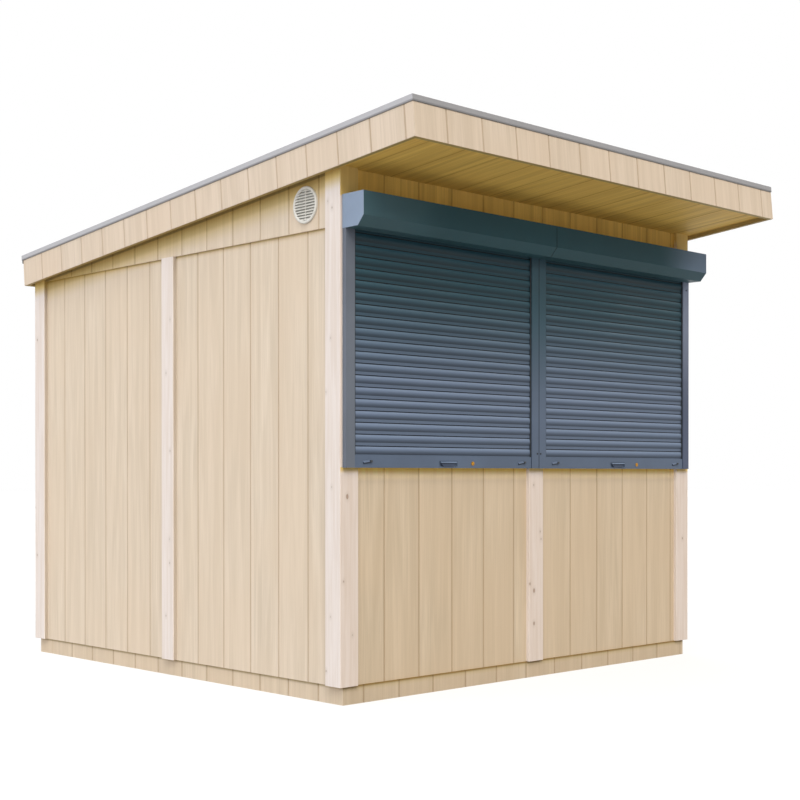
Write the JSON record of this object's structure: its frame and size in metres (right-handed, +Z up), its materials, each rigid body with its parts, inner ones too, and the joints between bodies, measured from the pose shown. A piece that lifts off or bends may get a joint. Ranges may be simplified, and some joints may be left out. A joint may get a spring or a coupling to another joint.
{
  "type": "wooden market hut",
  "caption": "Wooden market hut with a single-slope roof, grooved board walls, a deep front overhang and closed roller shutters over the counter side.",
  "frame": {"origin": "middle of the base on the ground, midway between the outer faces of the corner posts", "axes": "+X to the right seen from the counter side, +Y to the back, +Z up"},
  "size_m": [2.476, 3.0579, 2.3933],
  "materials": {
    "planed_post": "planed softwood, clear",
    "grooved_board": "grooved veneer-faced board, clear",
    "soffit_board": "grooved board, clear",
    "plain_timber": "plain timber",
    "shutter_metal": "satin anthracite paint",
    "roof_covering": "matt roofing sheet",
    "edge_trim": "satin grey folded sheet",
    "vent_plastic": "white moulded plastic"
  },
  "bodies": {
    "root": {"back_panel_left": "grooved_board", "back_panel_right": "grooved_board", "corner_post_back_left": "planed_post", "corner_post_back_right": "planed_post", "corner_post_front_left": "planed_post", "corner_post_front_right": "planed_post", "fascia_back": "grooved_board", "fascia_front": "grooved_board", "fascia_left": "grooved_board", "fascia_right": "grooved_board", "floor_bearers": "plain_timber", "floor_deck": "plain_timber", "front_panel_left": "grooved_board", "front_panel_right": "grooved_board", "gable_left": "grooved_board", "gable_right": "grooved_board", "guide_rail_left_1": "shutter_metal", "guide_rail_left_2": "shutter_metal", "guide_rail_right_1": "shutter_metal", "guide_rail_right_2": "shutter_metal", "head_panel_front": "grooved_board", "middle_post_back": "planed_post", "middle_post_front": "planed_post", "middle_post_left": "planed_post", "middle_post_right": "planed_post", "roof_covering": "roof_covering", "roof_deck": "plain_timber", "roof_edge_trim": "edge_trim", "roof_soffit": "soffit_board", "shutter_bottom_bar_left": "shutter_metal", "shutter_bottom_bar_right": "shutter_metal", "shutter_box_left": "shutter_metal", "shutter_box_right": "shutter_metal", "shutter_curtain_left": "shutter_metal", "shutter_curtain_right": "shutter_metal", "side_panel_left_back": "grooved_board", "side_panel_left_front": "grooved_board", "side_panel_right_back": "grooved_board", "side_panel_right_front": "grooved_board", "skirting_back": "grooved_board", "skirting_front": "grooved_board", "skirting_left": "grooved_board", "skirting_right": "grooved_board", "vent_left": "vent_plastic", "vent_right": "vent_plastic"}
  },
  "joints": []
}
